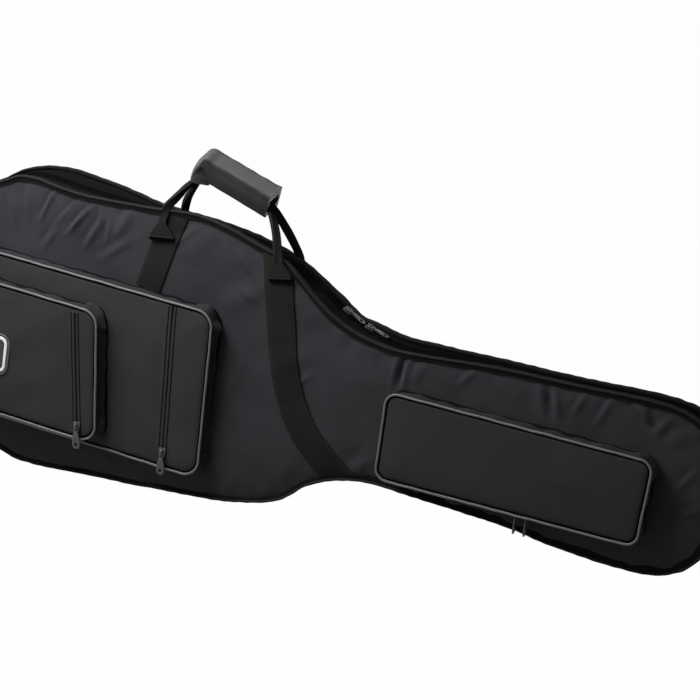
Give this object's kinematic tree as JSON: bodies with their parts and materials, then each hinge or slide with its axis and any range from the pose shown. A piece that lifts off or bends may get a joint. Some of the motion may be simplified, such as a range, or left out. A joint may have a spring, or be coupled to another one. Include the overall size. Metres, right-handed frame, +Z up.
{
  "type": "padded gig bag",
  "caption": "Padded electric guitar gig bag with a hinged zip front, piped pockets, sliding zips and a wrapped carry handle.",
  "frame": {"origin": "middle of the carry handle's grip, where a hand or hook holds the bag", "axes": "+X along the bag to the head end, -Y out of the front, +Z up to the handle side"},
  "size_m": [1.0405, 0.1342, 0.4406],
  "materials": {
    "nylon": "satin woven nylon",
    "padding": "brushed lining over foam",
    "binding": "woven edge tape",
    "zip_tape": "woven tape with a coil chain",
    "piping": "satin grey piping",
    "webbing": "woven webbing",
    "grip": "grey coated cloth",
    "slider": "black painted zinc",
    "buckle": "moulded",
    "badge": "blank soft patch"
  },
  "bodies": {
    "rear_half": {"rear_shell": "nylon", "rear_padding": "padding", "rear_binding": "binding", "rear_zip_half": "zip_tape", "hinge_gusset": "nylon", "rear_strap_left": "webbing", "rear_strap_right": "webbing", "rear_handle_loop": "webbing", "handle_wrap": "grip", "strap_yoke": "webbing", "shoulder_pad_upper": "nylon", "shoulder_pad_lower": "nylon", "strap_buckle_upper": "buckle", "strap_buckle_lower": "buckle", "shoulder_web_upper": "webbing", "shoulder_web_lower": "webbing", "strap_anchor_upper": "nylon", "strap_anchor_lower": "nylon"},
    "front_half": {"front_shell": "nylon", "front_padding": "padding", "front_binding": "binding", "front_zip_half": "zip_tape", "large_pocket": "nylon", "small_pocket": "nylon", "neck_pocket": "nylon", "large_piping": "piping", "small_piping": "piping", "neck_piping": "piping", "large_zip": "zip_tape", "small_zip": "zip_tape", "neck_zip": "zip_tape", "badge_patch": "badge", "front_strap_left": "webbing", "front_strap_right": "webbing", "front_handle_loop": "webbing"},
    "handle_flap": {"handle_flap": "grip"},
    "main_slider_left": {"main_slider_left": "slider"},
    "main_slider_right": {"main_slider_right": "slider"},
    "main_puller_left": {"main_puller_left": "slider"},
    "main_puller_right": {"main_puller_right": "slider"},
    "large_slider": {"large_slider": "slider"},
    "large_puller": {"large_puller": "slider"},
    "small_slider": {"small_slider": "slider"},
    "small_puller": {"small_puller": "slider"},
    "neck_slider_left": {"neck_slider_left": "slider"},
    "neck_slider_right": {"neck_slider_right": "slider"},
    "neck_puller_left": {"neck_puller_left": "slider"},
    "neck_puller_right": {"neck_puller_right": "slider"}
  },
  "joints": [
    {"name": "front_half_open", "type": "hinge", "parent": "rear_half", "child": "front_half", "pos_m": [-0.1255, -0.0045, -0.41385], "axis": [1, 0, 0], "range_deg": [0, 120]},
    {"name": "handle_flap_open", "type": "hinge", "parent": "rear_half", "child": "handle_flap", "pos_m": [0.01759, -0.01854, 0.00413], "axis": [-0.9578, 0, 0.2873], "range_deg": [0, 120]},
    {"name": "main_slider_left_run", "type": "hinge", "parent": "rear_half", "child": "main_slider_left", "pos_m": [0.257, -0.0045, 0.0389], "axis": [0, 1, 0], "range_deg": [0, 6]},
    {"name": "main_slider_right_run", "type": "hinge", "parent": "rear_half", "child": "main_slider_right", "pos_m": [0.257, -0.0045, 0.0389], "axis": [0, -1, 0], "range_deg": [0, 15]},
    {"name": "main_puller_left_swing", "type": "hinge", "parent": "main_slider_left", "child": "main_puller_left", "pos_m": [0.17142, -0.0045, -0.11741], "axis": [0, -1, 0], "range_deg": [0, 165]},
    {"name": "main_puller_right_swing", "type": "hinge", "parent": "main_slider_right", "child": "main_puller_right", "pos_m": [0.20131, -0.0045, -0.13037], "axis": [0, -1, 0], "range_deg": [0, 100]},
    {"name": "large_slider_run", "type": "slide", "parent": "front_half", "child": "large_slider", "axis": [-0.0627, 0, 0.998], "range_m": [0, 0.178]},
    {"name": "large_puller_swing", "type": "hinge", "parent": "large_slider", "child": "large_puller", "pos_m": [-0.02138, -0.0609, -0.34111], "axis": [-0.998, 0, -0.0627], "range_deg": [0, 165]},
    {"name": "small_slider_run", "type": "slide", "parent": "front_half", "child": "small_slider", "axis": [-0.1485, 0, 0.9889], "range_m": [0, 0.134]},
    {"name": "small_puller_swing", "type": "hinge", "parent": "small_slider", "child": "small_puller", "pos_m": [-0.12889, -0.08525, -0.33017], "axis": [-0.9889, 0, -0.1485], "range_deg": [0, 165]},
    {"name": "neck_slider_left_run", "type": "slide", "parent": "front_half", "child": "neck_slider_left", "axis": [-0.9996, 0, -0.0286], "range_m": [0, 0.134]},
    {"name": "neck_slider_right_run", "type": "slide", "parent": "front_half", "child": "neck_slider_right", "axis": [0.9996, 0, 0.0286], "range_m": [0, 0.096]},
    {"name": "neck_puller_left_swing", "type": "hinge", "parent": "neck_slider_left", "child": "neck_puller_left", "pos_m": [0.42562, -0.04185, -0.29328], "axis": [0, 1, 0], "range_deg": [-12, 75]},
    {"name": "neck_puller_right_swing", "type": "hinge", "parent": "neck_slider_right", "child": "neck_puller_right", "pos_m": [0.43861, -0.04185, -0.29291], "axis": [0, -1, 0], "range_deg": [-12, 75]}
  ]
}
